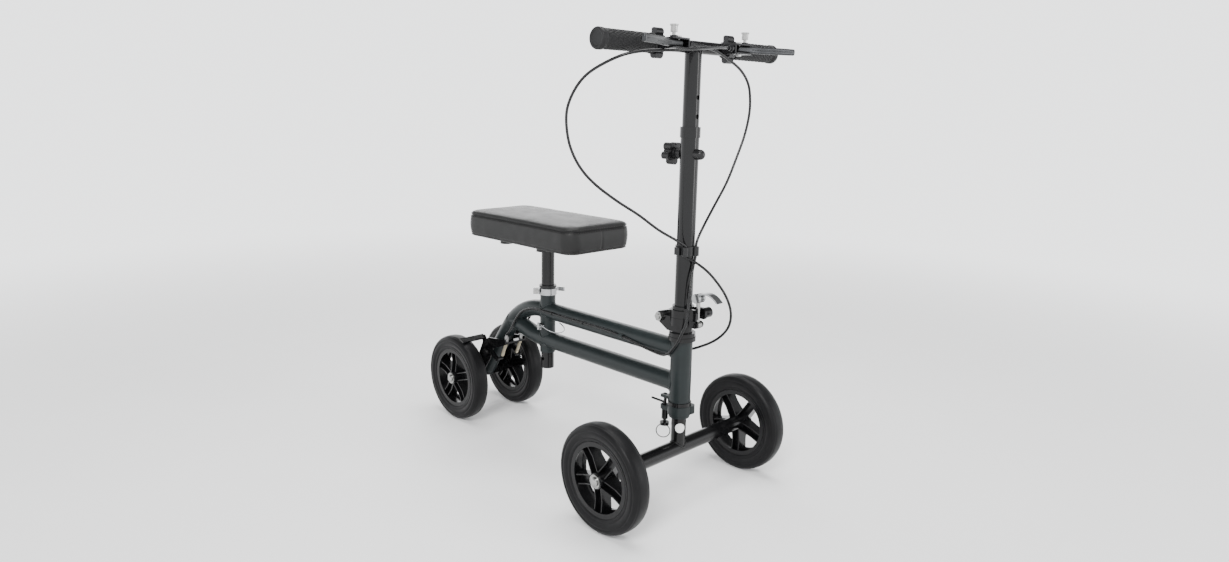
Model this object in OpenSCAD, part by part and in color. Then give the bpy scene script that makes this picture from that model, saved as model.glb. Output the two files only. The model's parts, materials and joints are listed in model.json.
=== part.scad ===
// Steerable knee scooter: four wheels, folding steering stem, height-adjustable knee pad.
// Frame: +X forward, +Y to the rider's left, +Z up, ground at z = 0,
// origin below the middle of the wheelbase.

/* [Wheels] */
// Outer diameter of every tyre
wheel_d = 203; // [199:1:206]
// Width of every tyre
tyre_w = 38; // [36:1:38]
// Distance between the front and rear axles
wheelbase = 627; // [620:1:634]
// Distance between the centres of the front tyres
front_track = 400; // [396:1:410]
// Distance between the centres of the rear tyres
rear_track = 166; // [166:1:170]
// Number of spokes in each rim
spokes = 5; // [5:1:5]

/* [Frame] */
// Outer diameter of the two frame tubes
frame_od = 37; // [36:0.5:37]
// Wall of the frame tubes
frame_wall = 1.8; // [1.5:0.1:2]
// Height of the top tube's centre line
top_z = 299; // [298:0.5:300]
// Height of the bottom tube's centre line
bottom_z = 232; // [231:0.5:233]
// Radius of the bend in both tubes
bend_r = 150; // [150:1:150]
// Outer diameter of the head tube
head_od = 41; // [40:0.5:42]

/* [Steering] */
// Outer diameter of the steering post
post_od = 28.6; // [28.6:0.1:28.6]
// Outer diameter of the folding stem
stem_od = 34; // [33:0.5:34]
// Height of the handlebar's centre line
bar_z = 851; // [845:1:860]
// Overall width over the grips
bar_w = 468; // [460:2:480]
// Outer diameter of the handlebar tube
bar_od = 22.2; // [22:0.1:22.4]
// Pitch of the height adjustment holes
hole_pitch = 33; // [32:1:34]

/* [Knee pad] */
// Length of the pad
pad_l = 356; // [340:2:360]
// Width of the pad
pad_w = 176; // [170:2:180]
// Height of the pad's top face above the ground
pad_top = 512; // [505:1:516]
// Thickness of the pad
pad_t = 56; // [50:1:56]
// Radius of the pad's corners in plan
pad_corner = 30; // [24:1:34]

/* [Hidden] */
$fn = 64;

frame_col = [0.13, 0.15, 0.16];
gloss_col = [0.05, 0.05, 0.06];
tyre_col = [0.09, 0.09, 0.10];
metal_col = [0.78, 0.79, 0.80];
lever_col = [0.35, 0.36, 0.37];
pad_col = [0.16, 0.17, 0.18];

slack = 0.05;               // radial clearance of a running fit
gap = 0.3;                  // clearance between parts that only pass each other
front_x = wheelbase / 2;    // front axle and steering axis
rear_x = -wheelbase / 2;    // rear axle
seat_x = front_x - 393;     // seat post axis
pad_x = seat_x - 6;         // middle of the pad
wheel_r = wheel_d / 2;
axle_z = wheel_r;
frame_r = frame_od / 2;
bore_r = frame_r - frame_wall;
head_r = head_od / 2;
post_r = post_od / 2;
stem_r = stem_od / 2;
stem_bore = stem_r - 1.5;
bar_r = bar_od / 2;
slider_r = 15.2;            // handlebar post
seat_r = 17;                // seat tube
seat_post_r = 14.3;

rim_r = 70;                 // where the tyre sits on the rim
hub_r = 15;
hub_half = 20;
bearing_r = 13;
axle_bolt_r = 5;
front_axle_r = 15;
rear_axle_r = 14;

top_bend_x = seat_x - 14;   // where the top tube starts to bend down
top_bend_a = 54;
bottom_bend_x = seat_x - 15.5;
bottom_bend_a = 14;
head_low = 197;
head_high = 319;

pivot_x = front_x - 40;     // fold pivot, behind the stem
pivot_z = 360;
split_z = 365;              // the two hinge blocks meet here
latch_x = front_x + 36;
latch_z = 355.5;
cam_z = 406;
stem_top = 700;
knob_z = 666;
guide_z = 491;

brake_pivot_x = rear_x + 45.5;
brake_pivot_z = 180;
perch_y = 96;               // handlebar clamp of each brake lever
lever_x = front_x + 36;     // brake lever pivot
lever_y = 82;
lever_tip = [front_x + 70, 200];
lock_x = front_x - 32;      // steering lock, behind the collar
lock_y = -5;

// Brake cable routes, end to end, cable centre line
cable_r = 2.5;
left_bar_route = [[352, 48, 851], [361, 25, 850], [369, -20, 847], [373, -70, 842],
    [367, -114, 838], [346, -151, 836], [324, -181, 829], [294, -200, 814], [266, -211, 796],
    [246, -218, 772], [233, -222, 742], [231, -221, 710], [236, -216, 677], [246, -203, 645],
    [258, -180, 617], [276, -145, 588], [292, -106, 562], [308, -70, 534], [321, -37, 514],
    [327, -17, 501], [327, -16, 491]];
right_bar_route = [[352, -48, 851], [352, -20, 850], [352, 15, 844], [352, 48, 833],
    [351, 89, 815], [347, 119, 792], [343, 133, 764], [341, 135, 734], [338, 128, 697],
    [336, 109, 655], [335, 85, 612], [334, 53, 571], [334, 27, 539], [334, 10, 515],
    [334, 5, 501], [334, 5, 491]];
left_neck_route = [[327, -16, 490.2], [327.5, -15.7, 481], [342, 0, 470], [361, 18, 449],
    [379, 39, 413], [385, 52, 378], [379, 54, 346], [355, 50, 318], [322, 36, 298],
    [295, 27, 289], [271, 23, 287]];
right_neck_route = [[334, 5, 490.2], [334, 4.8, 481], [335, -3, 457], [341, -15, 424],
    [346, -24, 390], [346, -27, 365], [336, -28, 340], [322, -27, 315], [306, -26, 297],
    [290, -24, 288], [271, -23, 287]];
// The run along the frame's side, given once and mirrored to the other side
frame_route = [[269.8, -23, 287], [245, -21.8, 289], [220, -21.2, 292], [172, -21.2, 299],
    [117, -21.2, 302], [35, -21.2, 302], [-61, -21.2, 302], [-100, -21.2, 301],
    [-127, -21.2, 295], [-150, -21.2, 283], [-168, -21.2, 264], [-182, -21.2, 243],
    [-194, -21.2, 227], [-202.5, -21, 219], [-204, -21, 214]];

function unit(v) = v / norm(v);
function between(a, b, c, d, t) = 0.5 * (2 * b + (c - a) * t + (2 * a - 5 * b + 4 * c - d) * t * t
    + (3 * b - a - 3 * c + d) * t * t * t);
function smooth(p, n) = [for (i = [0 : len(p) - 2]) for (k = [0 : n - 1])
    between(p[max(i - 1, 0)], p[i], p[i + 1], p[min(i + 2, len(p) - 1)], k / n)];
function route(p, n) = concat(smooth(p, n), [p[len(p) - 1]]);
function ahead(q) = [for (i = [0 : len(q) - 1])
    unit(q[min(i + 1, len(q) - 1)] - q[max(i - 1, 0)])];
function across(v, t) = unit(v - (v * t) * t);
function sides_of(t, i = 0, last = [0.3, 0.2, 1]) = i >= len(t) ? []
    : concat([across(last, t[i])], sides_of(t, i + 1, across(last, t[i])));
function flip(p) = [for (q = p) [q[0], -q[1], q[2]]];

// A round cable along a route: s sides, n rings for each stretch between two points
module cable(p, n, r = cable_r, s = 8) {
    q = route(p, n);
    t = ahead(q);
    u = sides_of(t);
    last = len(q) - 1;
    pts = [for (i = [0 : last]) for (k = [0 : s - 1])
        q[i] + r * (cos(360 * k / s) * u[i] + sin(360 * k / s) * cross(t[i], u[i]))];
    walls = [for (i = [0 : last - 1]) for (k = [0 : s - 1]) for (h = [0, 1])
        h == 0 ? [i * s + k, (i + 1) * s + k, (i + 1) * s + (k + 1) % s]
            : [i * s + k, (i + 1) * s + (k + 1) % s, i * s + (k + 1) % s]];
    first_cap = [for (k = [0 : s - 1]) k];
    last_cap = [for (k = [s - 1 : -1 : 0]) last * s + k];
    polyhedron(concat([for (x = pts) x]), concat(walls, [first_cap, last_cap]));
}

// Cylinders along each axis, from one coordinate to another
module rod_x(y, z, r, x0, x1) translate([x0, y, z]) rotate([0, 90, 0]) cylinder(r = r, h = x1 - x0);
module rod_y(x, z, r, y0, y1) translate([x, y1, z]) rotate([90, 0, 0]) cylinder(r = r, h = y1 - y0);
module rod_z(x, y, r, z0, z1) translate([x, y, z0]) cylinder(r = r, h = z1 - z0);
module hex_y(x, z, r, y0, y1) translate([x, y1, z]) rotate([90, 0, 0]) cylinder(r = r, h = y1 - y0, $fn = 6);
// A flat outline in the XZ plane, thickened from y0 to y1
module slab_y(y0, y1) translate([0, y1, 0]) rotate([90, 0, 0]) linear_extrude(y1 - y0) children();
module both_sides() {
    children();
    mirror([0, 1, 0]) children();
}
// A round-ended flat link between two points
module link(a, b, ra, rb) {
    d = b - a;
    n = [-d[1], d[0]] / norm(d);
    translate(a) circle(ra);
    translate(b) circle(rb);
    polygon([a + n * ra, a - n * ra, b - n * rb, b + n * rb]);
}
module round_rect(l, w, r) {
    square([l - 2 * r, w], center = true);
    square([l, w - 2 * r], center = true);
    for (i = [-1, 1]) for (j = [-1, 1]) translate([i * (l / 2 - r), j * (w / 2 - r)]) circle(r);
}

// The bent frame tubes: r is the outer radius, bore the inner one (0 for a solid envelope)
module tube_profile(r, bore) {
    difference() {
        circle(r);
        if (bore > 0) circle(bore);
    }
}
// A tube that runs level to -X, bends down through an angle and goes on straight
module bent_tube(from, bend_x, z, angle, after, r, bore) {
    translate([bend_x, 0, z - bend_r]) {
        translate([0, 0, bend_r]) rotate([0, 90, 0]) rotate(180)
            linear_extrude(from - bend_x) tube_profile(r, bore);
        rotate([90, 0, 0]) rotate([0, 0, 90]) rotate_extrude(angle = angle)
            translate([bend_r, 0]) tube_profile(r, bore);
        rotate([0, -angle, 0]) translate([0.5, 0, bend_r]) rotate([0, -90, 0])
            linear_extrude(after + 0.5) tube_profile(r + 0.02, max(bore - 0.02, 0));
    }
}
leg_l = (top_z - bend_r * (1 - cos(top_bend_a)) - axle_z) / sin(top_bend_a);
module top_run(r, bore) bent_tube(front_x, top_bend_x, top_z, top_bend_a, leg_l, r, bore);
// The bottom tube bends the other way, up into the top tube
module bottom_run(r, bore) translate([0, 0, bottom_z]) mirror([0, 0, 1])
    bent_tube(front_x, bottom_bend_x, 0, bottom_bend_a, 80, r, bore);

module head_tube() color(frame_col) {
    difference() {
        union() {
            rod_z(front_x, 0, head_r, head_low, head_high);
            translate([lock_x - 7, lock_y - 6, head_low]) cube([24, 12, 6]);
        }
        rod_z(front_x, 0, 16.5, head_low - 1, head_high + 1);
        rod_z(lock_x, lock_y, 3.5, head_low - 1, head_low + 7);
    }
}
module top_tube() color(frame_col) {
    difference() {
        union() {
            top_run(frame_r, bore_r);
            both_sides() difference() {
                rod_x(-21.2, top_z, 4, 166, 178);
                rod_x(-21.2, top_z, 2.7, 165, 179);
                top_run(frame_r - 0.5, 0);
            }
        }
        rod_z(front_x, 0, head_r, head_low, head_high + 20);
        rod_z(seat_x, 0, seat_r, 200, 340);
        rod_y(rear_x, axle_z, rear_axle_r, -40, 40);
    }
}
module bottom_tube() color(frame_col) {
    difference() {
        bottom_run(frame_r, bore_r);
        rod_z(front_x, 0, head_r, head_low, head_high);
        rod_z(seat_x, 0, seat_r, 200, 280);
        top_run(frame_r, 0);
        translate([-400, -50, 300]) cube([200, 100, 100]);
    }
}
module seat_tube() color(frame_col) {
    difference() {
        rod_z(seat_x, 0, seat_r, 204, 352);
        rod_z(seat_x, 0, 15.6, 203, 353);
        rod_y(seat_x, 265, 4, -20, 0);
        translate([seat_x, 0, 345]) rotate([0, 0, 225]) translate([10, -1.5, -15]) cube([10, 3, 30]);
    }
}
module brake_plate_outline() {
    polygon([[rear_x - 14, 96], [rear_x + 8, 84], [-258, 148], [-246, 176], [-197, 196], [-197, 208],
        [-262, 200], [-284, 190], [rear_x - 6, 120]]);
}
// Axle tube with the brake carrier plates and the cross strip that holds the cable stops
module rear_axle() color(gloss_col) {
    difference() {
        union() {
            rod_y(rear_x, axle_z, rear_axle_r, -61, 61);
            both_sides() slab_y(27, 30) brake_plate_outline();
            translate([-212, -30, 197]) cube([15, 60, 4]);
        }
        both_sides() rod_y(rear_x, axle_z, axle_bolt_r, 40, 62);
        rod_y(rear_x, axle_z, 12, -44, 44);
        both_sides() rod_y(brake_pivot_x, brake_pivot_z, 4 + slack, 26, 31);
        both_sides() rod_z(-204, 21, 3, 190, 210);
    }
}
module headset_cups() color(gloss_col) {
    difference() {
        union() {
            rod_z(front_x, 0, 26, head_high, 327);
            rod_z(front_x, 0, 16.5, head_high - 12, head_high);
            rod_z(front_x, 0, 22.5, 190, head_low);
            rod_z(front_x, 0, 16.5, head_low, head_low + 12);
        }
        rod_z(front_x, 0, post_r + slack, 180, 330);
    }
}

module seat_bush() color(gloss_col) {
    difference() {
        union() {
            rod_z(seat_x, 0, 15.6, 318, 352);
            rod_z(seat_x, 0, 19, 352, 357);
        }
        rod_z(seat_x, 0, seat_post_r + slack, 317, 358);
    }
}
// The clamp's lugs point to the rear right; its own axes are turned by this angle
module clamp_frame() translate([seat_x, 0, 343]) rotate([0, 0, 225]) children();
module seat_clamp_band() color(metal_col) clamp_frame() {
    difference() {
        union() {
            translate([0, 0, -7]) cylinder(r = 19.4, h = 14);
            translate([15, -6.5, -7]) cube([17, 13, 14]);
        }
        translate([0, 0, -8]) cylinder(r = seat_r, h = 16);
        translate([10, -1.5, -8]) cube([30, 3, 16]);
        rod_y(25.5, 0, 2.5, -8, 8);
    }
}
module seat_clamp_bolt() color(metal_col) clamp_frame() {
    rod_y(25.5, 0, 2.5, -7, 13.5);
    hex_y(25.5, 0, 6, 6.5, 11.5);
}
module seat_clamp_lever() color(metal_col) clamp_frame() {
    difference() {
        union() {
            translate([25.5, -13.3, -6]) cylinder(r = 6, h = 12);
            translate([0, 0, -4.5]) linear_extrude(9) {
                link([25.5, -14], [20, -23], 5, 2.5);
                link([20, -23], [-22, -25], 2.5, 2);
                link([-22, -25], [-34, -21], 2, 2);
            }
        }
        rod_y(25.5, 0, 2.8, -14, 0);
    }
}
module seat_lock_pin() color(metal_col) {
    rod_y(seat_x, 265, 4 - slack, -20, -15);
    rod_y(seat_x, 265, 7.5, -23, -17.6);
    rod_z(seat_x, -26.5, 3, 259, 271);
    rod_y(seat_x, 265, 5, -27, -22);
}
// Spring wire loop that reaches round the front of the seat tube and droops towards it
module seat_pin_bail() color(metal_col) {
    wire = [[0, 0, 10], [11, -1, 6.5], [24, 4, -1], [37, 14, -6], [43, 26, -7], [38, 40, -5],
        [24, 49, -1], [8, 52, 3]];
    translate([seat_x, -26.5, 265]) {
        rod_z(0, 0, 3.2, 6.3, 8.9);
        cable([for (p = wire) p + [3, 0, -1.5]], 3, 1.2);
    }
}

module cable_stops() color(metal_col) {
    both_sides() difference() {
        union() {
            rod_z(-204, 21, 4.6, 201, 213);
            rod_z(-204, 21, 2.95, 196, 201);
        }
        rod_z(-204, 21, 1.2, 190, 220);
    }
}
// Return springs between the carrier and the brake arms
module brake_springs() color([0.8, 0.76, 0.66]) {
    both_sides() translate([-206, 21, 195]) rotate([0, 180 + 24, 0]) difference() {
        cylinder(r = 3.4, h = 36);
        translate([0, 0, -1]) cylinder(r = 1.9, h = 38);
    }
}
// Bell crank: the cable pulls its front end up, and the bar at its top presses on the tyre
module brake_arm() {
    difference() {
        union() {
            slab_y(-35, -31) {
                link([brake_pivot_x, brake_pivot_z], [-224, 156], 8, 5);
                link([brake_pivot_x, brake_pivot_z], [-277, 199], 8, 6);
            }
            rod_y(brake_pivot_x, brake_pivot_z, 4, -35, -24);
            rod_y(brake_pivot_x, brake_pivot_z, 6.5, -41, -35);
            rod_y(-224, 156, 3, -35, -18);
            translate([rear_x, 0, axle_z]) rotate([0, -70, 0])
                translate([wheel_r + 1.8, -rear_track / 2 - 14, -8]) cube([4, rear_track / 2 + 14 - 31, 16]);
        }
    }
}
module brake_arm_right() color(gloss_col) brake_arm();
module brake_arm_left() color(gloss_col) mirror([0, 1, 0]) brake_arm();

// A bolt through both bearings of a wheel, with a spacer, a washer and a domed head
module wheel_bolt(x, y) {
    rod_y(x, axle_z, axle_bolt_r, y - hub_half - 20, y + hub_half + 2);
    rod_y(x, axle_z, 8, y - hub_half - 1.6, y - hub_half);
    rod_y(x, axle_z, 12.5, y + hub_half + 0.4, y + hub_half + 2);
    translate([x, y + hub_half + 2, axle_z]) rotate([-90, 0, 0]) intersection() {
        cylinder(r = 8.5, h = 6.5);
        translate([0, 0, -6.3]) sphere(r = 12.5);
    }
}
module bearing_pair(x, y) {
    for (s = [-1, 1]) difference() {
        rod_y(x, axle_z, bearing_r - slack, y + s * (hub_half - 4) - 4, y + s * (hub_half - 4) + 4);
        rod_y(x, axle_z, axle_bolt_r, y - 30, y + 30);
    }
}
module rear_wheel_bolts() color(metal_col) both_sides() wheel_bolt(rear_x, rear_track / 2);
module rear_bearings() color(metal_col) both_sides() bearing_pair(rear_x, rear_track / 2);
module front_wheel_bolts() color(metal_col) both_sides() wheel_bolt(front_x, front_track / 2);
module front_bearings() color(metal_col) both_sides() bearing_pair(front_x, front_track / 2);

// Steering post welded to the front axle tube
module fork() color(gloss_col) {
    axle_half = front_track / 2 - hub_half - 1.6;
    difference() {
        union() {
            rod_z(front_x, 0, post_r, axle_z, 352);
            rod_y(front_x, axle_z, front_axle_r, -axle_half, axle_half);
        }
        rod_y(front_x, axle_z, 12.8, -axle_half + 22, axle_half - 22);
        rod_y(front_x, axle_z, axle_bolt_r, -axle_half - 1, axle_half + 1);
        rod_z(front_x, 0, 12, axle_z + 18, 353);
    }
}
module lower_collar() color(frame_col) {
    difference() {
        union() {
            rod_z(front_x, 0, 23, 172, 189.6);
            rod_z(front_x, 0, 20, 166, 172);
            translate([0, 0, 174]) linear_extrude(15.6)
                link([front_x, 0], [front_x + 14, 12], 22, 11);
            translate([0, 0, 174]) linear_extrude(8)
                link([front_x - 10, -2], [lock_x, lock_y], 12, 9);
        }
        rod_z(front_x, 0, post_r, 160, 195);
        rod_z(lock_x, lock_y, 6.2, 160, 195);
    }
}
module steering_lock_barrel() color(gloss_col) {
    difference() {
        rod_z(lock_x, lock_y, 6.2, 153, 183);
        rod_z(lock_x, lock_y, 3 + slack, 150, 190);
    }
}
// Spring plunger: pin, handle across its top, button and pull ring below
module steering_lock_plunger() color(gloss_col) {
    rod_z(lock_x, lock_y, 3, 144, 195);
    rod_z(lock_x, lock_y, 9, 140, 146);
    rod_x(lock_y, 186.2, 2.3, lock_x - 34, lock_x);
    translate([lock_x - 34, lock_y, 186.2]) sphere(r = 2.3);
    translate([lock_x - 3, lock_y, 126]) rotate([0, 0, 35]) rotate([90, 0, 0])
        rotate_extrude() translate([13.5, 0]) circle(0.95);
    rod_z(lock_x, lock_y, 1.6, 137, 141);
}

// Lower hinge block on the steering post, with the latch's pin
module hinge_base() color(gloss_col) {
    difference() {
        union() {
            rod_z(front_x, 0, 25, 327.3, 335);
            rod_z(front_x, 0, 19, 335, 350);
            rod_z(front_x, 0, 24, 349, split_z - 0.4);
            both_sides() slab_y(11.3, 19) {
                translate([pivot_x, pivot_z]) circle(10.5);
                polygon([[pivot_x - 4, pivot_z - 9.7], [pivot_x + 18, 337], [front_x, 337],
                    [front_x, split_z - 0.4], [pivot_x + 10, split_z - 0.4], [pivot_x + 4, pivot_z + 9.7]]);
            }
            both_sides() slab_y(5.3, 9.2) {
                link([front_x + 16, latch_z], [latch_x, latch_z], 6.5, 6.5);
            }
            rod_y(latch_x, latch_z, 4, -13, 13);
        }
        rod_z(front_x, 0, post_r, 320, 352);
        rod_z(front_x, 0, 12, 351, 370);
        rod_y(pivot_x, pivot_z, 5, -20, 20);
        translate([pivot_x - 12, -11.3, pivot_z - 14]) cube([27, 22.6, 30]);
        translate([front_x + 25, -5.3, 345]) cube([6, 10.6, 30]);
    }
}
module fold_pivot_bolt() color(metal_col) {
    rod_y(pivot_x, pivot_z, 5, -28, 20);
    hex_y(pivot_x, pivot_z, 9, -25.5, -19);
    rod_y(pivot_x, pivot_z, 8.5, 19, 23.5);
}
// Upper hinge block on the stem, with the fork that the latch closes on and the safety catch
module hinge_top() color(gloss_col) {
    difference() {
        union() {
            rod_z(front_x, 0, 24, split_z, 379);
            rod_z(front_x, 0, 20.5, 379, 386);
            slab_y(-11, 11) {
                translate([pivot_x, pivot_z]) circle(10);
                polygon([[pivot_x - 5, pivot_z + 8.6], [front_x - 10, 379], [front_x - 10, split_z],
                    [pivot_x + 9.5, split_z], [pivot_x + 9.5, pivot_z + 3]]);
            }
            both_sides() slab_y(10, 16.5) {
                polygon([[front_x, split_z], [front_x + 42, split_z], [front_x + 45, 369],
                    [front_x + 45, 381], [front_x + 40, 386], [front_x + 24, 386], [front_x, 379]]);
            }
            rod_y(front_x + 34, 374, 10, 16.5, 34);
        }
        rod_y(pivot_x, pivot_z, 5 + slack, -12, 12);
        rod_z(front_x, 0, stem_r, 368, 400);
        translate([front_x + 23, -10, 360]) cube([30, 20, 40]);
    }
}
module latch_eyebolt() color(metal_col) {
    difference() {
        union() {
            rod_y(latch_x, latch_z, 7, -5, 5);
            rod_z(latch_x, 0, 3.8, latch_z + 5, cam_z - 3);
            rod_y(latch_x, cam_z, 5, -3.6, 3.6);
        }
        rod_y(latch_x, latch_z, 4 + slack, -6, 6);
        rod_y(latch_x, cam_z, 2.5, -6, 6);
    }
}
// Cam lever: two cheeks round the eyebolt's top, and a curved handle that points forward
module latch_lever() color(metal_col) {
    difference() {
        union() {
            rod_y(latch_x, cam_z, 9, -9.2, 9.2);
            slab_y(-8, 8) {
                intersection() {
                    translate([latch_x + 20, cam_z - 26]) difference() {
                        circle(39);
                        circle(36);
                    }
                    translate([latch_x - 3, cam_z - 1]) square([60, 40]);
                }
            }
        }
        translate([latch_x - 12, -3.9, cam_z - 12]) cube([24, 7.8, 17.5]);
    }
    rod_y(latch_x, cam_z, 2.5 - slack, -5, 5);
}
module stem_tube() color(gloss_col) {
    difference() {
        rod_z(front_x, 0, stem_r, 368, stem_top);
        rod_z(front_x, 0, stem_bore, 367, stem_top + 1);
        rod_x(0, knob_z, 4 + slack, front_x - 20, front_x);
    }
}
module stem_collar() color(gloss_col) {
    difference() {
        rod_z(front_x, 0, 18.6, 695, 714);
        rod_z(front_x, 0, stem_r, 694, stem_top);
        rod_z(front_x, 0, slider_r + slack, 694, 715);
    }
}
module cable_guide() color(gloss_col) {
    difference() {
        union() {
            rod_z(front_x, 0, 19.2, guide_z - 8.5, guide_z + 8.5);
            rod_z(front_x + 13.5, -16, 5.8, guide_z - 8.5, guide_z + 8.5);
            rod_z(front_x + 20.5, 5, 5.8, guide_z - 8.5, guide_z + 8.5);
            both_sides() translate([front_x - 6, 18, guide_z - 7]) cube([12, 7, 14]);
        }
        rod_z(front_x, 0, stem_r, guide_z - 10, guide_z + 10);
        rod_z(front_x + 13.5, -16, 3.7, guide_z - 10, guide_z + 10);
        rod_z(front_x + 20.5, 5, 3.7, guide_z - 10, guide_z + 10);
    }
}
// Five-lobed clamping knob behind the stem
module height_knob() color(gloss_col) {
    knob_x = front_x - stem_r - 33;
    translate([knob_x, 0, knob_z]) rotate([0, 90, 0]) {
        linear_extrude(17) {
            circle(14);
            for (i = [0 : 4]) rotate(i * 72) translate([14.5, 0]) circle(7);
        }
        cylinder(r = 11, h = 22);
        cylinder(r = 9, h = 33 - 0.4);
    }
    rod_x(0, knob_z, 4, front_x - stem_r - 5, front_x - slider_r - gap);
}
module height_nut() color(gloss_col) {
    rod_x(0, knob_z, 9.3, front_x + stem_r, front_x + stem_r + 8);
    intersection() {
        translate([front_x + stem_r + 8, 0, knob_z]) sphere(r = 9.3);
        translate([front_x + stem_r + 7, -10, knob_z - 10]) cube([20, 20, 20]);
    }
    difference() {
        rod_x(0, knob_z, 9.3, front_x + 12, front_x + stem_r + 4);
        rod_z(front_x, 0, stem_r, knob_z - 20, knob_z + 20);
    }
}

// Handlebar tube welded across the top of the post that slides in the stem
module handlebar() color(gloss_col) {
    difference() {
        union() {
            rod_z(front_x, 0, slider_r, 545, bar_z);
            rod_y(front_x, bar_z, bar_r, -bar_w / 2 + 6, bar_w / 2 - 6);
        }
        rod_z(front_x, 0, slider_r - 2, 540, bar_z - 14);
        rod_y(front_x, bar_z, bar_r - 2, -bar_w / 2, -20);
        rod_y(front_x, bar_z, bar_r - 2, 20, bar_w / 2);
        for (i = [-2 : 3]) rod_x(0, knob_z + i * hole_pitch, 4.1, front_x - 20, front_x + 20);
    }
}
module grip() {
    end = bar_w / 2;
    difference() {
        union() {
            rod_y(front_x, bar_z, 15.6, 110, end - 8);
            rod_y(front_x, bar_z, 17, 108, 112);
            rod_y(front_x, bar_z, 17.4, end - 10, end);
        }
        rod_y(front_x, bar_z, bar_r, 100, end - 6);
    }
}
module grip_left() color(tyre_col) grip();
module grip_right() color(tyre_col) mirror([0, 1, 0]) grip();

// Clamp on the bar with lugs above and below, and the lever's clevis in front of it
module brake_bracket() {
    difference() {
        union() {
            rod_y(front_x, bar_z, 16, 87, 105);
            rod_y(front_x + 1, bar_z + 19, 7, 87, 105);
            rod_y(front_x + 1, bar_z - 17, 7, 87, 105);
            translate([front_x + 10, 66, bar_z - 9]) cube([14, 39, 18]);
            translate([0, 0, bar_z + 6.2]) linear_extrude(2.8) clevis_outline();
            translate([0, 0, bar_z - 9]) linear_extrude(2.8) clevis_outline();
            translate([front_x + 20, 62, bar_z - 9]) cube([24, 3, 18]);
            rod_y(front_x + 38, bar_z, 4.6, 48, 64);
            rod_y(front_x + 38, bar_z, 6, 54, 59);
            rod_z(front_x + 38, 96, 6.5, bar_z + 9, bar_z + 12);
        }
        rod_y(front_x, bar_z, bar_r, 60, 110);
        rod_y(front_x + 38, bar_z, 1.2, 40, 70);
        rod_z(lever_x, lever_y, 3, 820, 880);
        rod_z(front_x + 38, 96, 3.4, bar_z + 5, bar_z + 20);
        translate([front_x - 20, 80, bar_z + 14]) cube([16, 30, 20]);
    }
}
module clevis_outline() {
    polygon([[front_x + 14, 66], [front_x + 20, 62], [front_x + 44, 62], [front_x + 47, 66],
        [front_x + 50, 104], [front_x + 46, 107], [front_x + 14, 105]]);
}
module brake_bracket_left() color(lever_col) brake_bracket();
module brake_bracket_right() color(lever_col) mirror([0, 1, 0]) brake_bracket();
module brake_lever() {
    difference() {
        translate([0, 0, bar_z - 5.8]) linear_extrude(11.6) {
            link([lever_x, lever_y], [front_x + 43, 118], 7.5, 4.5);
            link([front_x + 43, 118], [front_x + 64, 176], 4.5, 4);
            link([front_x + 64, 176], lever_tip, 4, 4.6);
        }
        rod_z(lever_x, lever_y, 3 + slack, 820, 880);
    }
}
module brake_lever_left() color(lever_col) brake_lever();
module brake_lever_right() color(lever_col) mirror([0, 1, 0]) brake_lever();
module lever_pivot_bolts() color(metal_col) both_sides() {
    rod_z(lever_x, lever_y, 3, bar_z - 11, bar_z + 11);
    rod_z(lever_x, lever_y, 5.2, bar_z + 9, bar_z + 12);
    rod_z(lever_x, lever_y, 5.2, bar_z - 12, bar_z - 9);
}
module parking_pin() {
    rod_z(front_x + 38, 96, 3, bar_z + 10.5, bar_z + 20);
    rod_z(front_x + 38, 96, 5.8, bar_z + 17, bar_z + 27);
    rod_z(front_x + 38, 96, 7.2, bar_z + 27, bar_z + 29.5);
}
module parking_pin_left() color(metal_col) parking_pin();
module parking_pin_right() color(metal_col) mirror([0, 1, 0]) parking_pin();

module seat_post() color(gloss_col) {
    difference() {
        rod_z(seat_x, 0, seat_post_r, 167, pad_top - pad_t - 9);
        rod_z(seat_x, 0, seat_post_r - 2, 166, pad_top - pad_t - 14);
        for (i = [-3 : 2]) rod_y(seat_x, 265 + i * 25.4, 4.2, -20, 20);
    }
}
// Steel plate on the post and two cross bars with rounded ends under the pad
module seat_plate() color(gloss_col) {
    base = pad_top - pad_t;
    difference() {
        union() {
            translate([pad_x, 0, base - 9]) linear_extrude(4) round_rect(150, 90, 14);
            rod_z(seat_x, 0, 19, base - 16, base - 9);
            for (s = [-1, 1]) translate([pad_x + s * 62, 0, base - 9]) linear_extrude(9)
                round_rect(26, 150, 12.5);
        }
        rod_z(seat_x, 0, seat_post_r, base - 20, base - 9);
    }
}
module seat_pad() color(pad_col) {
    base = pad_top - pad_t;
    translate([pad_x, 0, base]) linear_extrude(pad_t - 9) round_rect(pad_l, pad_w, pad_corner);
    translate([pad_x, 0, pad_top - 9]) linear_extrude(9)
        round_rect(pad_l - 8, pad_w - 8, pad_corner - 4);
}

module tyre(x, y) color(tyre_col) {
    half = tyre_w / 2;
    shoulder = 12;
    translate([x, y, axle_z]) rotate([90, 0, 0]) rotate_extrude() {
        polygon([[rim_r, -half + 4], [rim_r + 15, -half], [wheel_r - shoulder, -half],
            [wheel_r - shoulder, half], [rim_r + 15, half], [rim_r, half - 4]]);
        for (s = [-1, 1]) translate([wheel_r - shoulder, s * (half - shoulder)]) circle(shoulder);
        translate([wheel_r - shoulder, -half + shoulder]) square([shoulder, 2 * (half - shoulder)]);
    }
}
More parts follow.
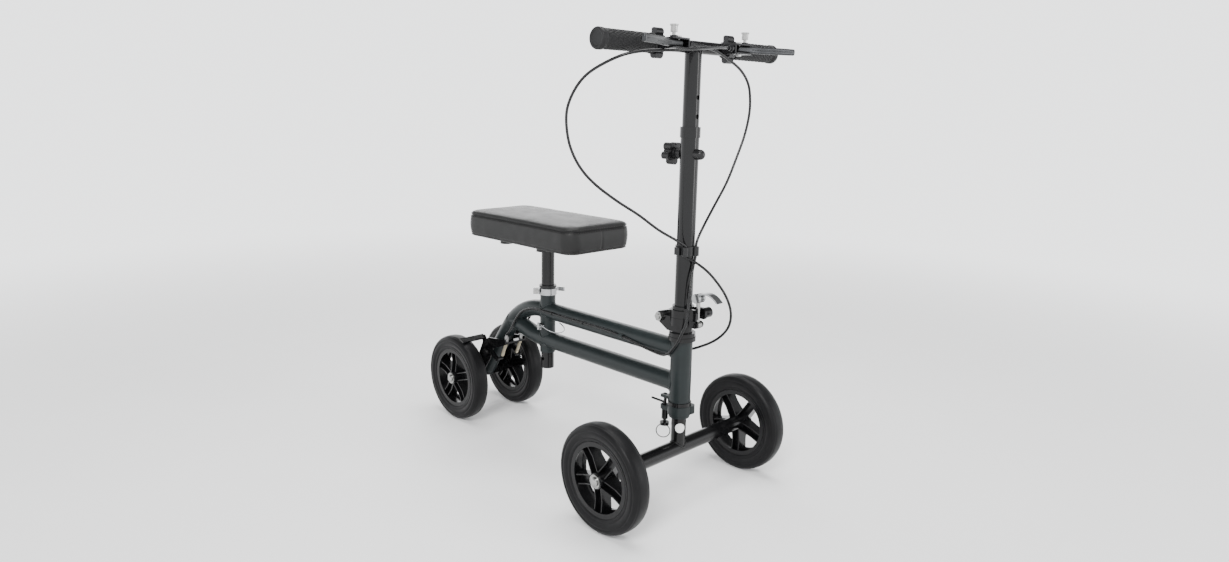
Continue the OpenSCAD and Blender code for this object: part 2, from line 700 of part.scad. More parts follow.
// Moulded rim: band, hub, and spokes that are two ribs joined by a web
module rim(x, y, phase) color(gloss_col) {
    translate([x, y, axle_z]) rotate([90, 0, 0]) {
        rotate_extrude() polygon([[61, -15], [rim_r, -15], [rim_r, 15], [61, 15], [61.5, 11],
            [65, 9], [65, -9], [61.5, -11]]);
        difference() {
            union() {
                translate([0, 0, -hub_half]) cylinder(r = hub_r, h = 2 * hub_half);
                for (i = [0 : spokes - 1]) rotate(phase + i * 360 / spokes) spoke();
            }
            translate([0, 0, -hub_half - 1]) cylinder(r = 8, h = 2 * hub_half + 2);
            for (s = [-1, 1]) translate([0, 0, s * (hub_half - 3.5) - 4.5]) cylinder(r = bearing_r, h = 9);
        }
    }
}
module spoke() {
    wide = 9.5;
    slim = 8.5;
    translate([0, 0, -2]) linear_extrude(4) polygon([[12, -wide], [64, -slim], [64, slim], [12, wide]]);
    for (s = [-1, 1]) translate([0, s * 8.4, 0]) rotate([90, 0, 0]) linear_extrude(2.4, center = true)
        polygon([[12, -15], [40, -11], [64, -13], [64, 13], [40, 11], [12, 15]]);
}
module tyre_front_left() tyre(front_x, front_track / 2);
module tyre_front_right() tyre(front_x, -front_track / 2);
module tyre_rear_left() tyre(rear_x, rear_track / 2);
module tyre_rear_right() tyre(rear_x, -rear_track / 2);
module rim_front_left() rim(front_x, front_track / 2, -90);
module rim_front_right() rim(front_x, -front_track / 2, -90);
module rim_rear_left() rim(rear_x, rear_track / 2, 90);
module rim_rear_right() rim(rear_x, -rear_track / 2, 90);

module cable_left_bar() color(gloss_col) cable(left_bar_route, 2);
module cable_right_bar() color(gloss_col) cable(right_bar_route, 3);
module cable_left_neck() color(gloss_col) cable(left_neck_route, 2);
module cable_right_neck() color(gloss_col) cable(right_neck_route, 2);
module frame_cables() color(gloss_col) {
    cable(frame_route, 1);
    cable(flip(frame_route), 1);
}

head_tube();
top_tube();
bottom_tube();
seat_tube();
rear_axle();
headset_cups();
seat_bush();
seat_clamp_band();
seat_clamp_bolt();
seat_clamp_lever();
seat_lock_pin();
seat_pin_bail();
cable_stops();
brake_springs();
brake_arm_left();
brake_arm_right();
rear_wheel_bolts();
rear_bearings();
fork();
lower_collar();
steering_lock_barrel();
steering_lock_plunger();
hinge_base();
fold_pivot_bolt();
front_wheel_bolts();
front_bearings();
hinge_top();
latch_eyebolt();
latch_lever();
stem_tube();
stem_collar();
cable_guide();
height_knob();
height_nut();
handlebar();
grip_left();
grip_right();
brake_bracket_left();
brake_bracket_right();
brake_lever_left();
brake_lever_right();
lever_pivot_bolts();
parking_pin_left();
parking_pin_right();
seat_post();
seat_plate();
seat_pad();
tyre_front_left();
tyre_front_right();
tyre_rear_left();
tyre_rear_right();
rim_front_left();
rim_front_right();
rim_rear_left();
rim_rear_right();
cable_left_bar();
cable_right_bar();
cable_left_neck();
cable_right_neck();
frame_cables();
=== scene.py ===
import json
from math import cos, floor, pi, radians, sin, sqrt

import bmesh
import bpy
from mathutils import Matrix, Vector, noise


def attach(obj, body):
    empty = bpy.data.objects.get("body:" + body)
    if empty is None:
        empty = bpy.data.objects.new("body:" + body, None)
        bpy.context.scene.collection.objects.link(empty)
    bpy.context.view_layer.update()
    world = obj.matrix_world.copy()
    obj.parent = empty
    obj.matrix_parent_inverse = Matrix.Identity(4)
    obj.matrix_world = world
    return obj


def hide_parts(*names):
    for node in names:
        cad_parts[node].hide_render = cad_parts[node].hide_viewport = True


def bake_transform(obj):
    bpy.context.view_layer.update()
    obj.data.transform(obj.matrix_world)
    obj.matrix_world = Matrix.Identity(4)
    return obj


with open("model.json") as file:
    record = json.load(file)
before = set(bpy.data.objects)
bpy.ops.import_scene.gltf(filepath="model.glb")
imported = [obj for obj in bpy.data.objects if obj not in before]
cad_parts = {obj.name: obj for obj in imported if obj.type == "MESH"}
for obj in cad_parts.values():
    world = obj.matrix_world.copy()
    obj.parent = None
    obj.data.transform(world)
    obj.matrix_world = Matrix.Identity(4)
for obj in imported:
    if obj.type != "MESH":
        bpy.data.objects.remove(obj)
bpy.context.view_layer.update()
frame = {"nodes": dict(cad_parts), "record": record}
nodes = frame["nodes"]

MM = 0.001
SX, RX, PX = 313.5, -313.5, -79.5   # steering axis, rear axle, seat post
AXLE_Z, BAR_Z = 101.5, 851.0
BACKDROP = 2.6                      # brightness of the studio round the horizon
PAD_X = -85.5                       # middle of the knee pad
CABLE_R = 2.5                       # outside radius of a brake cable's jacket
NECK_SPLIT_Z = 384                  # height at which the neck cables pass from stem to frame
CAMERA_PLACE = (1.2696, -1.1329, 0.7534)
PHOTO_WIDTH, FOCAL_PIXELS, SENSOR = 1229.0, 812.794, 36.0


# ---------------------------------------------------------------- materials
def material(name, base, rough, metal=0.0, vary=0.25, scale=40.0, bump=0.0, bump_scale=400.0,
             coat=0.0, rough_vary=0.08, spec=0.5, cells=False):
    """A procedural finish: colour and roughness vary with noise, fine grain goes in the bump."""
    m = bpy.data.materials.new(name)
    m.use_nodes = True
    tree = m.node_tree
    new, link = tree.nodes.new, tree.links.new
    b = tree.nodes["Principled BSDF"]
    b.inputs["Metallic"].default_value = metal
    b.inputs["Coat Weight"].default_value = coat
    b.inputs["Coat Roughness"].default_value = 0.12
    b.inputs["Specular IOR Level"].default_value = spec
    co = new("ShaderNodeTexCoord")
    n1 = new("ShaderNodeTexNoise")
    n1.inputs["Scale"].default_value = scale
    n1.inputs["Detail"].default_value = 6.0
    link(co.outputs["Object"], n1.inputs["Vector"])
    ramp = new("ShaderNodeValToRGB")
    ramp.color_ramp.elements[0].position = 0.3
    ramp.color_ramp.elements[1].position = 0.7
    ramp.color_ramp.elements[0].color = (*[c * (1 - vary) for c in base], 1)
    ramp.color_ramp.elements[1].color = (*[min(c * (1 + vary), 1) for c in base], 1)
    link(n1.outputs["Fac"], ramp.inputs["Fac"])
    link(ramp.outputs["Color"], b.inputs["Base Color"])
    n2 = new("ShaderNodeTexNoise")
    n2.inputs["Scale"].default_value = scale * 3
    link(co.outputs["Object"], n2.inputs["Vector"])
    rr = new("ShaderNodeMapRange")
    rr.inputs["To Min"].default_value = max(rough - rough_vary, 0.02)
    rr.inputs["To Max"].default_value = min(rough + rough_vary, 1.0)
    link(n2.outputs["Fac"], rr.inputs["Value"])
    link(rr.outputs["Result"], b.inputs["Roughness"])
    if bump:
        if cells:
            grain = new("ShaderNodeTexVoronoi")
            grain.feature = "DISTANCE_TO_EDGE"
            out = grain.outputs["Distance"]
        else:
            grain = new("ShaderNodeTexNoise")
            grain.inputs["Detail"].default_value = 3.0
            out = grain.outputs["Fac"]
        grain.inputs["Scale"].default_value = bump_scale
        link(co.outputs["Object"], grain.inputs["Vector"])
        bp = new("ShaderNodeBump")
        bp.inputs["Strength"].default_value = bump
        bp.inputs["Distance"].default_value = 0.0004
        link(out, bp.inputs["Height"])
        link(bp.outputs["Normal"], b.inputs["Normal"])
    return m


M = {
    "frame_paint": material("frame_paint", (0.010, 0.0135, 0.014), 0.33, vary=0.10, bump=0.12,
                            bump_scale=1500, coat=0.02, spec=0.20),
    "gloss_black": material("gloss_black", (0.003, 0.003, 0.0033), 0.16, vary=0.12, bump=0.05,
                            bump_scale=500, coat=0.03, spec=0.26),
    "tyre_rubber": material("tyre_rubber", (0.0055, 0.0055, 0.006), 0.42, vary=0.16, bump=0.25,
                            bump_scale=900, rough_vary=0.07, spec=0.12),
    "rim_plastic": material("rim_plastic", (0.004, 0.004, 0.0045), 0.22, vary=0.12, bump=0.08,
                            bump_scale=700, coat=0.02, spec=0.22),
    "grip_rubber": material("grip_rubber", (0.007, 0.007, 0.0075), 0.5, vary=0.15, bump=0.2,
                            bump_scale=1200, spec=0.2),
    "cable_jacket": material("cable_jacket", (0.004, 0.004, 0.0045), 0.28, vary=0.12, bump=0.06,
                             bump_scale=900, spec=0.3),
    "black_plastic": material("black_plastic", (0.006, 0.006, 0.0065), 0.36, vary=0.12, bump=0.15,
                              bump_scale=1100, spec=0.3),
    "pad_vinyl": material("pad_vinyl", (0.0125, 0.0125, 0.0125), 0.42, vary=0.10, scale=14,
                          bump=0.35, bump_scale=620, cells=True, spec=0.16),
    "spring_steel": material("spring_steel", (0.50, 0.45, 0.34), 0.32, metal=0.9, vary=0.08,
                             bump=0.05),
    "lever_metal": material("lever_metal", (0.035, 0.036, 0.038), 0.30, metal=0.8, vary=0.12,
                            bump=0.1, bump_scale=1300, spec=0.35),
    "bright_metal": material("bright_metal", (0.36, 0.365, 0.37), 0.20, metal=1.0, vary=0.05,
                             bump=0.04),
    "zinc": material("zinc", (0.30, 0.30, 0.295), 0.28, metal=1.0, vary=0.10, bump=0.08,
                     bump_scale=900),
}
bracket_metal = material("bracket_metal", (0.010, 0.010, 0.011), 0.28, metal=0.3, vary=0.2, bump=0.12,
                         bump_scale=900, spec=0.35)
disc_white = material("disc_white", (0.80, 0.80, 0.79), 0.5, vary=0.03, bump=0.05)
floor_mat = material("floor_paper", (0.86, 0.86, 0.86), 0.75, vary=0.01, scale=3, bump=0.02)

for row in frame["record"]["subparts"]:
    o = nodes[row["node"]]
    o.data.materials.clear()
    o.data.materials.append(bracket_metal if row["node"].startswith("brake_bracket")
                            else M[row["material_slot"]])


# ---------------------------------------------------------------- mesh helpers (millimetres in)
def piece(name, verts, faces, body, slot_name, replaced=(), smooth=True, mat=None, ride=True):
    me = bpy.data.meshes.new(name)
    me.from_pydata([[c * MM for c in v] for v in verts], [], faces)
    me.validate()
    me.update()
    me.materials.append(mat or M[slot_name])
    me.polygons.foreach_set("use_smooth", [smooth] * len(me.polygons))
    o = bpy.data.objects.new(name, me)
    bpy.context.scene.collection.objects.link(o)
    if ride:
        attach(o, body)
    if replaced:
        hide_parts(*replaced)
    return o


def grid_faces(rings, per, closed_rings=False, base=0):
    """Quads between rows of per points each; the last row meets the first if closed_rings."""
    f = []
    for i in range(rings if closed_rings else rings - 1):
        a, b = base + i * per, base + ((i + 1) % rings) * per
        for k in range(per):
            n = (k + 1) % per
            f.append((a + k, b + k, b + n, a + n))
    return f


def spline(points, steps):
    """A smooth curve through the points, cut into steps pieces between each two."""
    p = [Vector(q) for q in points]
    out = []
    for i in range(len(p) - 1):
        a, b, c, d = p[max(i - 1, 0)], p[i], p[i + 1], p[min(i + 2, len(p) - 1)]
        for k in range(steps):
            t = k / steps
            out.append(0.5 * (2 * b + (c - a) * t + (2 * a - 5 * b + 4 * c - d) * t * t
                              + (3 * b - a - 3 * c + d) * t ** 3))
    return out + [p[-1]]


def sweep(path, radius, sides=14, closed=False):
    """Vertices and faces of a round section carried along a path; radius may vary along it."""
    n = len(path)
    tang = []
    for i in range(n):
        a = path[(i - 1) % n] if closed else path[max(i - 1, 0)]
        b = path[(i + 1) % n] if closed else path[min(i + 1, n - 1)]
        tang.append((b - a).normalized())
    side = Vector((0.31, 0.22, 0.93))
    verts = []
    for i in range(n):
        side = (side - tang[i] * side.dot(tang[i])).normalized()
        other = tang[i].cross(side)
        r = radius(i / max(n - 1, 1)) if callable(radius) else radius
        for k in range(sides):
            a = 2 * pi * k / sides
            verts.append(path[i] + side * (r * cos(a)) + other * (r * sin(a)))
    faces = grid_faces(n, sides, closed)
    if not closed:
        faces.append(tuple(range(sides - 1, -1, -1)))
        faces.append(tuple((n - 1) * sides + k for k in range(sides)))
    return verts, [tuple(reversed(f)) for f in faces]


def lathe(profile, axis, centre, segments=96):
    """A closed profile of (radius, along) turned about an axis through centre."""
    verts = []
    for i in range(segments):
        a = 2 * pi * i / segments
        for r, h in profile:
            u, v = r * cos(a), r * sin(a)
            q = {"x": (h, u, v), "y": (u, h, v), "z": (u, v, h)}[axis]
            verts.append([centre[j] + q[j] for j in range(3)])
    return verts, grid_faces(segments, len(profile), True)


def fix_normals(o):
    bm = bmesh.new()
    bm.from_mesh(o.data)
    bmesh.ops.recalc_face_normals(bm, faces=bm.faces)
    bm.to_mesh(o.data)
    bm.free()
    return o


def joined(parts):
    verts, faces = [], []
    for v, f in parts:
        base = len(verts)
        verts += [list(q) for q in v]
        faces += [tuple(i + base for i in q) for q in f]
    return verts, faces


def mirrored(part):
    v, f = part
    return [[q[0], -q[1], q[2]] for q in v], [tuple(reversed(q)) for q in f]


# ---------------------------------------------------------------- tyres
def arc(cx, cy, r, a0, a1, n):
    turns = [radians(a0 + (a1 - a0) * i / n) for i in range(n + 1)]
    return [(cx + r * cos(a), cy + r * sin(a)) for a in turns]


def tyre_profile():
    half = [(70.2, 0.0), (70.2, 14.6), (72.5, 16.0), (76.0, 17.2), (77.2, 16.5), (78.4, 17.6),
            (84.0, 18.8), (87.6, 19.0), (88.6, 18.2), (89.8, 18.2), (90.8, 18.9)]
    half += arc(89.5, 7.0, 12.0, 76, 34, 8)
    half += [(99.2, 12.4), (99.9, 11.6)]
    half += [(100.9, 8.6), (101.3, 4.5)]
    return half + [(101.5, 0.0)] + [(r, -h) for r, h in reversed(half[1:])]


TYRES = {"front_left": (SX, 200), "front_right": (SX, -200), "rear_left": (RX, 83),
         "rear_right": (RX, -83)}
for key, (x, y) in TYRES.items():
    v, f = lathe(tyre_profile(), "y", (x, y, AXLE_Z), 128)
    fix_normals(piece("tyre_" + key + "_rubber", v, f, "wheel_" + key, "tyre_rubber", ["tyre_" + key]))


# ---------------------------------------------------------------- knee pad
def outline(half_l, half_w, r, count):
    """Points round a rounded rectangle, evenly spaced, starting at the middle of the front."""
    pts = []
    sl, sw = half_l - r, half_w - r
    quarter = pi * r / 2
    total = 4 * (sl + sw) + 2 * pi * r
    segments = ((sw, "line", (half_l, 0, 0, 1)), (quarter, "arc", (sl, sw, 0)),
                (2 * sl, "line", (sl, half_w, -1, 0)), (quarter, "arc", (-sl, sw, 90)),
                (2 * sw, "line", (-half_l, sw, 0, -1)), (quarter, "arc", (-sl, -sw, 180)),
                (2 * sl, "line", (-sl, -half_w, 1, 0)), (quarter, "arc", (sl, -sw, 270)),
                (sw, "line", (half_l, -sw, 0, 1)))
    for i in range(count):
        s = total * i / count
        for length, kind, data in segments:
            if s <= length + 1e-9:
                if kind == "line":
                    pts.append((data[0] + data[2] * s, data[1] + data[3] * s))
                else:
                    a = radians(data[2]) + s / r
                    pts.append((data[0] + r * cos(a), data[1] + r * sin(a)))
                break
            s -= length
    return pts


def side_pull(x, y):
    """How far the cover draws in: most at the middle of each side, none at its ends."""
    return 1.3 * max(0, 1 - (x / 140) ** 2) if abs(y) > 60 else 0.9 * max(0, 1 - (y / 60) ** 2)


def knee_pad():
    count = 420
    length, width, low, high = 356.0, 177.0, 455.0, 511.0
    # (inset from the outline, height, share of the crown)
    rows = [(88, low + 1.5, 0), (50, low + 0.8, 0), (20, low + 0.4, 0), (9, low + 0.2, 0), (5, low, 0),
            (2.6, low + 1.0, 0), (1.4, low + 2.6, 0), (2.6, low + 4.0, 0), (2.6, low + 4.6, 0),
            (1.0, low + 6.0, 0), (0.2, low + 10, 0), (-0.9, low + 18, 0), (-1.4, low + 26, 0),
            (-1.0, low + 34, 0), (-0.1, low + 41, 0), (0.9, low + 44.5, 0), (3.6, low + 46.2, 0),
            (3.8, low + 46.9, 0), (1.7, low + 48.2, 0), (1.9, low + 50.2, 0.02), (4.0, low + 52.8, 0.06),
            (7.5, low + 54.4, 0.14), (12, low + 55.3, 0.27), (20, low + 55.8, 0.48), (32, low + 56, 0.7),
            (48, low + 56, 0.88), (66, low + 56, 0.97), (84, low + 56, 1.0)]
    verts = []
    for inset, z, crown in rows:
        pts = outline(length / 2 - inset, width / 2 - inset, max(30 - inset, 1.5), count)
        for x, y in pts:
            # the cover pulls in along the long sides and at the seams in the end faces
            pull = 0.0
            if inset < 15:
                pull = side_pull(x, y)
                if abs(x) > 150 and abs(y) < 3 and low + 5 < z < low + 46:
                    pull += 1.6 * (1 - abs(y) / 3)
                pull += 0.45 * noise.noise(Vector((x * 0.045, y * 0.045, z * 0.09)))
            nx, ny = (x / 178, 0) if abs(y) < 60 else (0, y / 88)
            q = (x - pull * nx, y - pull * ny)
            lift = crown * 4.2 * (1 - (x / 190) ** 4) * (1 - (y / 98) ** 4)
            ripple = 0.35 * noise.noise(Vector((x * 0.02, y * 0.02, 3))) if crown > 0.1 else 0
            verts.append((PAD_X + q[0], q[1], z + lift + ripple))
    faces = grid_faces(len(rows), count)
    top = [((len(rows) - 1) * count + k) for k in range(count)]
    verts.append((PAD_X, 0, high + 4.2))
    verts.append((PAD_X, 0, low + 1.5))
    for k in range(count):
        faces.append((top[k], top[(k + 1) % count], len(verts) - 2))
        faces.append(((k + 1) % count, k, len(verts) - 1))
    pad = fix_normals(piece("knee_pad_cover", verts, faces, "seat", "pad_vinyl", ["seat_pad"]))
    # stitches either side of the top seam
    stitch = []
    for z, inset in ((low + 44.3, 0.15), (low + 49.4, 0.9)):
        ring = outline(length / 2 - inset, width / 2 - inset, 29.5, 300)
        for i in range(0, 300, 2):
            def at(j):
                x, y = ring[j % 300]
                pull = side_pull(x, y)
                return Vector((PAD_X + x - (pull * x / 178 if abs(y) < 60 else 0),
                               y - (pull * y / 88 if abs(y) >= 60 else 0), z))
            a, b = at(i), at(i + 1)
            stitch.append(sweep([a, (a + b) / 2, b], 0.42, 6))
    v, f = joined(stitch)
    piece("knee_pad_stitching", v, f, "seat", "pad_vinyl")


knee_pad()


# ---------------------------------------------------------------- cables
LEFT_BAR = [(352, 48, 851), (361, 25, 850), (369, -20, 847), (373, -70, 842), (367, -114, 838),
            (346, -151, 836), (324, -181, 829), (294, -200, 814), (266, -211, 796), (246, -218, 772),
            (233, -222, 742), (231, -221, 710), (236, -216, 677), (246, -203, 645), (258, -180, 617),
            (276, -145, 588), (292, -106, 562), (308, -70, 534), (321, -37, 514), (327, -17, 501),
            (327, -16, 491)]
RIGHT_BAR = [(352, -48, 851), (352, -20, 850), (352, 15, 844), (352, 48, 833), (351, 89, 815),
             (347, 119, 792), (343, 133, 764), (341, 135, 734), (338, 128, 697), (336, 109, 655),
             (335, 85, 612), (334, 53, 571), (334, 27, 539), (334, 10, 515), (334, 5, 501), (334, 5, 491)]
LEFT_NECK = [(327, -16, 491), (327.5, -15.7, 481), (342, 0, 470), (361, 18, 449), (379, 39, 413),
             (385, 52, 378), (379, 54, 346), (355, 50, 318), (322, 36, 298), (295, 27, 289),
             (270, 23, 287)]
RIGHT_NECK = [(334, 5, 491), (334, 4.8, 481), (335, -3, 457), (341, -15, 424), (346, -24, 390),
              (346, -27, 365), (336, -28, 340), (322, -27, 315), (306, -26, 297), (290, -24, 288),
              (270, -23, 287)]
FRAME_RUN = [(270, -23, 287), (245, -21.8, 289), (220, -21.2, 292), (172, -21.2, 299),
             (117, -21.2, 302), (35, -21.2, 302), (-61, -21.2, 302), (-100, -21.2, 301),
             (-127, -21.2, 295), (-150, -21.2, 283), (-168, -21.2, 264), (-182, -21.2, 243),
             (-194, -21.2, 227), (-202.5, -21, 219), (-204, -21, 214)]


def cable(name, path, node, bodies=None, body=None):
    v, f = sweep(path, CABLE_R, 14)
    o = piece(name, v, f, body, "cable_jacket", [node] if node else (), ride=bodies is None)
    if bodies:
        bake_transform(o)
    return o


cable("cable_left_bar_jacket", spline(LEFT_BAR, 6), "cable_left_bar", ("stem", "bars"))
cable("cable_right_bar_jacket", spline(RIGHT_BAR, 6), "cable_right_bar", ("stem", "bars"),
      (351, 89, 815))
for tag, pts in (("left", LEFT_NECK), ("right", RIGHT_NECK)):
    full = spline(pts, 6)
    cut = min(range(len(full)), key=lambda i: abs(full[i][2] - NECK_SPLIT_Z))
    y = full[cut][1]
    cable(f"cable_{tag}_neck_upper", full[:cut + 1], f"cable_{tag}_neck", ("steer", "stem"))
    cable(f"cable_{tag}_neck_lower", full[cut:], None, ("steer", "frame"))
near = sweep(spline(FRAME_RUN, 5), CABLE_R, 14)
v, f = joined([near, mirrored(near)])
piece("frame_cable_jackets", v, f, "frame", "cable_jacket", ["frame_cables"])

# ferrules on the cable ends, and clips that hold the runs to the top tube
ferrules = []
for s in (1, -1):
    ferrules.append(sweep([Vector((-203.2, s * 21, 219)), Vector((-203.7, s * 21, 215)),
                           Vector((-204, s * 21, 212.6))], 3.3, 16))
v, f = joined(ferrules)
piece("cable_ferrules", v, f, "frame", "zinc")
clips = []
for x in (60, -40):
    for s in (1, -1):
        ring = [Vector((x, s * 21.2 + 3.1 * cos(a), 301.8 + 3.1 * sin(a)))
                for a in [2 * pi * k / 24 for k in range(24)]]
        clips.append(sweep(ring, 0.9, 8, closed=True))
v, f = joined(clips)
piece("cable_ties", v, f, "frame", "black_plastic")

# return springs with the bare inner wire down their middle
for s in (1, -1):
    base, along = Vector((-206, s * 21, 195.5)), Vector((sin(radians(204)), 0, cos(radians(204))))
    side = Vector((0, 1, 0))
    up = along.cross(side)
    pts = []
    turns, steps, coil_r = 17, 16, 3.2
    for i in range(turns * steps + 1):
        a = 2 * pi * i / steps
        h = 1.0 + 35.0 * i / (turns * steps)
        pts.append(base + along * h + side * (coil_r * cos(a)) + up * (coil_r * sin(a)))
    tag = "left" if s > 0 else "right"
    for name, part, finish in (("return_spring", sweep(pts, 0.62, 8), "spring_steel"),
                               ("inner_wire", sweep([base + along * h for h in range(-2, 40, 3)], 0.7, 10),
                                "zinc")):
        o = piece(f"brake_{name}_{tag}", *part, "frame", finish,
                  ["brake_springs"] if finish == "spring_steel" else (), ride=False)
        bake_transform(o)


# ---------------------------------------------------------------- grips
def grip(sign):
    rows = []
    end = 234.0
    for i in range(151):
        y = 112 + (end - 12 - 112) * i / 150
        rows.append((15.0 + 0.5 * (i / 150), y, 1.0 if 6 < i < 144 else 0.0))
    prof = [(11.2, 108, 0), (16.2, 108, 0), (17.0, 108.8, 0), (17.0, 111.2, 0), (16.2, 112, 0)]
    prof += rows
    prof += [(16.6, end - 11, 0), (17.4, end - 9.6, 0), (17.5, end - 2.2, 0), (16.9, end - 0.8, 0),
             (15.8, end - 0.1, 0), (12.5, end, 0), (12.0, end - 0.8, 0), (11.2, end - 0.9, 0),
             (3.0, end - 0.9, 0), (0.4, end - 0.9, 0)]
    seg = 144
    verts = []
    for i in range(seg):
        a = 2 * pi * i / seg
        for r, y, k in prof:
            if k:
                u, w = (a / (2 * pi)) * 18 + y / 10.5, (a / (2 * pi)) * 18 - y / 10.5
                cut = min(abs(u - floor(u) - 0.5), abs(w - floor(w) - 0.5)) * 2
                r = r + 1.1 * min(1.0, cut * 2.2)
            verts.append((SX + r * cos(a), sign * y, BAR_Z + r * sin(a)))
    faces = grid_faces(seg, len(prof), True)
    last = [i * len(prof) + len(prof) - 1 for i in range(seg)]
    faces = [f for f in faces if not (f[0] % len(prof) == len(prof) - 1)]
    faces.append(tuple(last))
    return verts, faces


for tag, s in (("left", 1), ("right", -1)):
    v, f = grip(s)
    fix_normals(piece(f"grip_{tag}_knurled", v, f, "bars", "grip_rubber", ["grip_" + tag]))


# ---------------------------------------------------------------- brake levers
def section(path, size, sides=20, power=3.2):
    """A flat rounded-rectangle section along a level path: size gives half width and half height."""
    n = len(path)
    verts = []
    for i in range(n):
        t = (path[min(i + 1, n - 1)] - path[max(i - 1, 0)]).normalized()
        side = Vector((t[1], -t[0], 0)).normalized()
        w, h = size(i / (n - 1))
        for k in range(sides):
            a = 2 * pi * k / sides
            c, s = cos(a), sin(a)
            verts.append(path[i] + side * (w * abs(c) ** (2 / power) * (1 if c > 0 else -1))
                         + Vector((0, 0, h * abs(s) ** (2 / power) * (1 if s > 0 else -1))))
    faces = grid_faces(n, sides)
    faces += [tuple(range(sides)), tuple((n - 1) * sides + k for k in reversed(range(sides)))]
    return verts, faces


def brake_lever():
    path = spline([(SX + 35, 78, BAR_Z), (SX + 37, 92, BAR_Z), (SX + 42, 114, BAR_Z),
                   (SX + 52, 142, BAR_Z), (SX + 62, 170, BAR_Z), (SX + 68, 190, BAR_Z),
                   (SX + 71, 203, BAR_Z)], 8)

    def size(t):
        w = 7.0 - 3.2 * min(1, t * 2.4)
        if t > 0.94:
            w += 1.2 * sin((t - 0.94) / 0.06 * pi / 2)
        end = 1.0 if t < 0.97 else sqrt(max(0.02, 1 - ((t - 0.97) / 0.031) ** 2))
        return w * end, (5.8 + 0.5 * sin(t * pi)) * (0.4 + 0.6 * end)

    blade = section(path, size)
    # a raised rib along the middle of the front face
    rib = [q + Vector((3.4 - 1.2 * i / len(path), -1.6, 0)) for i, q in enumerate(path)][8:-4]
    return joined([blade, sweep(rib, 1.5, 10)])


for tag, s in (("left", 1), ("right", -1)):
    part = brake_lever()
    v, f = part if s > 0 else mirrored(part)
    fix_normals(piece(f"brake_lever_{tag}_blade", v, f, "lever_" + tag, "lever_metal",
                      ["brake_lever_" + tag]))

# ---------------------------------------------------------------- welds
def bead(points, radius=1.9):
    path = [Vector(p) for p in points]
    n = len(path)
    return sweep(path, lambda t: radius * (1 + 0.13 * sin(t * n * 1.9)), 10, closed=True)


ROUND = [2 * pi * k / 90 for k in range(90)]
beads = []
for z in (299, 232):
    beads.append(bead([(SX - sqrt(20.6 ** 2 - (18.5 * cos(a)) ** 2), 18.6 * cos(a), z + 18.6 * sin(a))
                       for a in ROUND]))
    for up in (1, -1):
        beads.append(bead([(PX + 17.1 * cos(a), 17.1 * sin(a),
                            z + up * sqrt(18.6 ** 2 - (17.1 * sin(a)) ** 2)) for a in ROUND]))
v, f = joined(beads)
piece("frame_weld_beads", v, f, "frame", "frame_paint")
v, f = bead([(SX + 14.4 * cos(a), 14.4 * sin(a), AXLE_Z + sqrt(15.1 ** 2 - (14.4 * cos(a)) ** 2))
             for a in ROUND])
piece("fork_weld_bead", v, f, "steer", "gloss_black")
beads = []
for s in (1, -1):
    beads.append(bead([(SX + 11.2 * cos(a), s * sqrt(15.3 ** 2 - (11.2 * cos(a)) ** 2),
                        min(BAR_Z + 11.2 * sin(a), BAR_Z + 1)) for a in ROUND], 1.5))
v, f = joined(beads)
piece("bar_weld_beads", v, f, "bars", "gloss_black")


# ---------------------------------------------------------------- plain disc on the steering post
def curved_disc(cx, cz, face, r, size):
    """A thin disc wrapped on a post of radius r, its middle facing the angle given in degrees."""
    verts, rings, sides = [], 10, 48
    for layer in (0.05, 0.45):
        for i in range(rings + 1):
            for k in range(sides):
                q = size * i / rings
                du, dz = q * cos(2 * pi * k / sides), q * sin(2 * pi * k / sides)
                a = radians(face) + du / r
                verts.append((cx + (r + layer) * cos(a), (r + layer) * sin(a), cz + dz))
    front = (rings + 1) * sides
    faces = grid_faces(rings + 1, sides)
    faces += [tuple(reversed(q)) for q in grid_faces(rings + 1, sides, base=front)]
    rim = rings * sides
    edge = [(rim + k, rim + (k + 1) % sides, front + rim + (k + 1) % sides, front + rim + k)
            for k in range(sides)]
    return verts, faces + edge


v, f = curved_disc(SX, 146, -38, 14.3, 9.5)
fix_normals(piece("plain_disc", v, f, "steer", "gloss_black", mat=disc_white))

# ---------------------------------------------------------------- floor, light, camera
me = bpy.data.meshes.new("floor")
half = 12.0
me.from_pydata([(-half, -half, 0), (half, -half, 0), (half, half, 0), (-half, half, 0)], [],
               [(0, 1, 2, 3)])
ft = floor_mat.node_tree
radius = ft.nodes.new("ShaderNodeVectorMath")
radius.operation = "LENGTH"
fade = ft.nodes.new("ShaderNodeMapRange")     # the paper brightens into the backdrop far away
fade.interpolation_type = "SMOOTHSTEP"
fade.inputs["From Min"].default_value = 0.9
fade.inputs["From Max"].default_value = 3.4
glow = ft.nodes.new("ShaderNodeEmission")
glow.inputs["Color"].default_value = (0.98, 0.99, 1.0, 1)
glow.inputs["Strength"].default_value = BACKDROP
blend = ft.nodes.new("ShaderNodeMixShader")
place = ft.nodes.new("ShaderNodeTexCoord")
ft.links.new(place.outputs["Object"], radius.inputs[0])
ft.links.new(radius.outputs["Value"], fade.inputs["Value"])
ft.links.new(fade.outputs["Result"], blend.inputs["Fac"])
ft.links.new(ft.nodes["Principled BSDF"].outputs["BSDF"], blend.inputs[1])
ft.links.new(glow.outputs["Emission"], blend.inputs[2])
ft.links.new(blend.outputs["Shader"], ft.nodes["Material Output"].inputs["Surface"])
me.materials.append(floor_mat)
floor = bpy.data.objects.new("floor", me)
bpy.context.scene.collection.objects.link(floor)

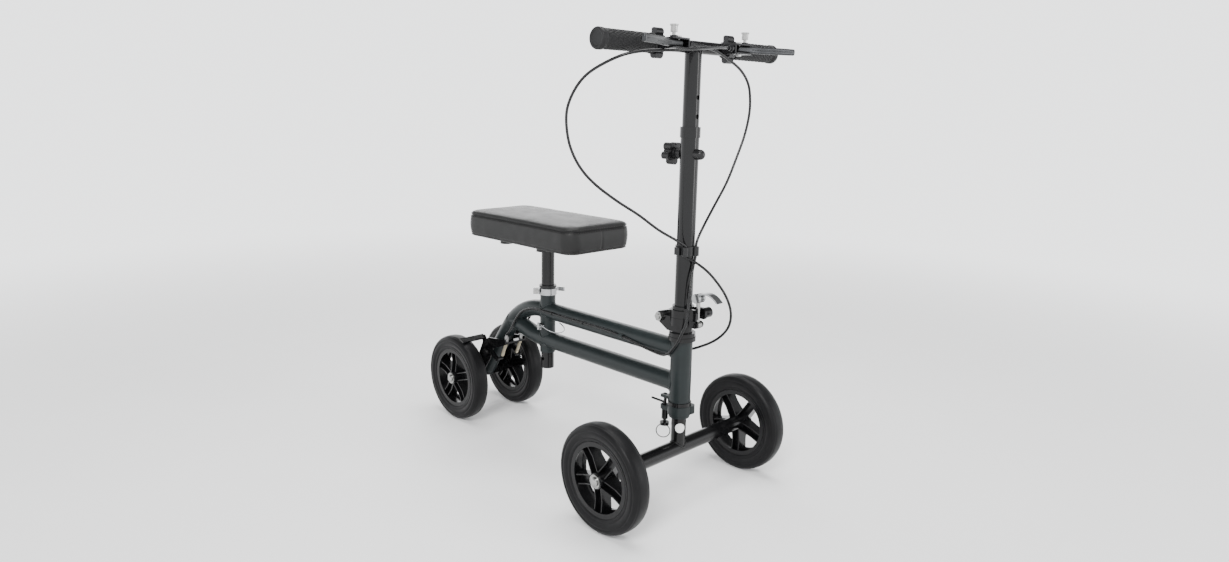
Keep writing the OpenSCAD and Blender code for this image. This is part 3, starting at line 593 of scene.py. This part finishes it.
world = bpy.data.worlds.new("studio")
world.use_nodes = True
wt = world.node_tree
where = wt.nodes.new("ShaderNodeTexCoord")
parts = wt.nodes.new("ShaderNodeSeparateXYZ")
sky = wt.nodes.new("ShaderNodeValToRGB")   # bright round the horizon, dimmer overhead
for at, level in ((0.0, 1.0), (0.22, 1.0), (0.50, 0.10), (1.0, 0.08)):
    if at in (0.0, 1.0):
        e = sky.color_ramp.elements[0 if at == 0.0 else -1]
    else:
        e = sky.color_ramp.elements.new(at)
    e.position = at
    e.color = (level * 0.98, level * 0.99, level, 1)
wt.links.new(where.outputs["Generated"], parts.inputs[0])
wt.links.new(parts.outputs["Z"], sky.inputs["Fac"])
wt.links.new(sky.outputs["Color"], wt.nodes["Background"].inputs["Color"])
wt.nodes["Background"].inputs["Strength"].default_value = BACKDROP
bpy.context.scene.world = world


def area(name, where, target, size, power):
    light = bpy.data.lights.new(name, "AREA")
    light.shape = "RECTANGLE"
    light.size, light.size_y = size
    light.energy = power
    o = bpy.data.objects.new(name, light)
    o.location = where
    o.rotation_euler = (Vector(target) - Vector(where)).to_track_quat("-Z", "Y").to_euler()
    bpy.context.scene.collection.objects.link(o)


area("key", (1.6, -2.4, 2.6), (0, 0, 0.35), (1.2, 1.2), 130)
area("top", (0.0, 0.2, 3.0), (0, 0, 0.3), (2.4, 2.4), 120)
area("left_strip", (2.6, 1.2, 1.2), (0.1, 0, 0.45), (0.6, 2.2), 28)
area("back", (-2.4, 1.6, 1.8), (0, 0, 0.4), (1.6, 1.6), 30)

yaw, pitch, roll = radians(135.183), radians(-12.377), radians(1.213)
fwd = Vector((cos(yaw) * cos(pitch), sin(yaw) * cos(pitch), sin(pitch)))
right = fwd.cross(Vector((0, 0, 1))).normalized()
up = right.cross(fwd)
r2 = right * cos(roll) + up * sin(roll)
u2 = right * -sin(roll) + up * cos(roll)
cam_data = bpy.data.cameras.new("camera")
cam_data.sensor_width = SENSOR
cam_data.lens = FOCAL_PIXELS * SENSOR / PHOTO_WIDTH
cam = bpy.data.objects.new("camera", cam_data)
cam.matrix_world = Matrix((
    *[(r2[i], u2[i], -fwd[i], CAMERA_PLACE[i]) for i in range(3)], (0, 0, 0, 1)))
bpy.context.scene.collection.objects.link(cam)
bpy.context.scene.camera = cam
